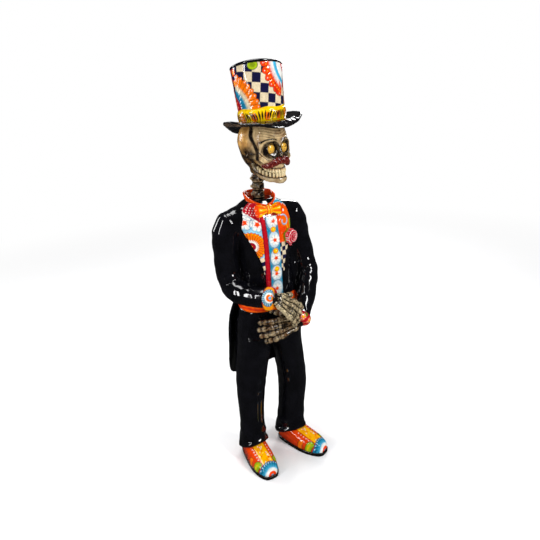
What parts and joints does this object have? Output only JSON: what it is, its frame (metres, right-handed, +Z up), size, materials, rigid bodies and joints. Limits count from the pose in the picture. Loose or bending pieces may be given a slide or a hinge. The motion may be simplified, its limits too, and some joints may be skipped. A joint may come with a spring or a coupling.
{
  "type": "skeleton gentleman figure",
  "caption": "Standing skeleton gentleman in a tailcoat, bow tie and top hat, hollow painted glazed pottery, with a head that turns and lifts off.",
  "frame": {"origin": "on the floor under the soles, at the middle of the figure's outline seen from above", "axes": "+Z up, the figure faces -Y, and its own left side is +X"},
  "size_m": [0.2411, 0.1798, 0.9048],
  "materials": {
    "black_glaze": "gloss black glaze over fired clay",
    "orange_glaze": "gloss orange-red glaze",
    "yellow_glaze": "gloss yellow-orange glaze with brush strokes",
    "bone_glaze": "gloss cream and tan glaze with a brown-black antique wash",
    "tooth_glaze": "gloss cream glaze",
    "eye_glaze": "gloss golden ochre glaze",
    "moustache_glaze": "gloss dark red-brown glaze",
    "rose_glaze": "gloss pink-red glaze with white lines",
    "red_glaze": "gloss crimson glaze",
    "painted_glaze": "gloss hand-painted glaze in many colours on a cream ground",
    "fired_clay": "unglazed fired clay",
    "steel_rod": "plain steel rod"
  },
  "bodies": {
    "figure": {"right_sole": "black_glaze", "left_sole": "black_glaze", "right_shoe": "painted_glaze", "left_shoe": "painted_glaze", "right_trouser_leg": "black_glaze", "left_trouser_leg": "black_glaze", "trouser_seat": "black_glaze", "sash": "orange_glaze", "jacket_body": "black_glaze", "right_coat_tail": "black_glaze", "left_coat_tail": "black_glaze", "right_sleeve": "black_glaze", "left_sleeve": "black_glaze", "right_cuff": "painted_glaze", "left_cuff": "painted_glaze", "right_hand": "bone_glaze", "left_hand": "bone_glaze", "right_lapel": "painted_glaze", "left_lapel": "painted_glaze", "shirt_front": "red_glaze", "button_placket": "painted_glaze", "shirt_buttons": "yellow_glaze", "shirt_collar": "orange_glaze", "bow_tie_wings": "yellow_glaze", "bow_tie_knot": "yellow_glaze", "lapel_rose": "rose_glaze", "neck_socket": "fired_clay"},
    "neck_rod": {"neck_rod": "steel_rod"},
    "head": {"vertebra_1": "bone_glaze", "vertebra_2": "bone_glaze", "vertebra_3": "bone_glaze", "head_socket": "fired_clay", "skull": "bone_glaze", "lower_jaw": "bone_glaze", "upper_teeth": "tooth_glaze", "lower_teeth": "tooth_glaze", "moustache": "moustache_glaze", "right_eye": "eye_glaze", "left_eye": "eye_glaze", "hat_brim": "black_glaze", "hat_crown": "painted_glaze", "hat_band": "yellow_glaze"}
  },
  "joints": [
    {"name": "head_lift", "type": "slide", "parent": "figure", "child": "neck_rod", "axis": [0, 0, 1], "range_m": [0, 0.12]},
    {"name": "head_turn", "type": "hinge", "parent": "neck_rod", "child": "head", "pos_m": [-0.0067, 0.0332, 0.66], "axis": [0, 0, 1], "continuous": true}
  ]
}
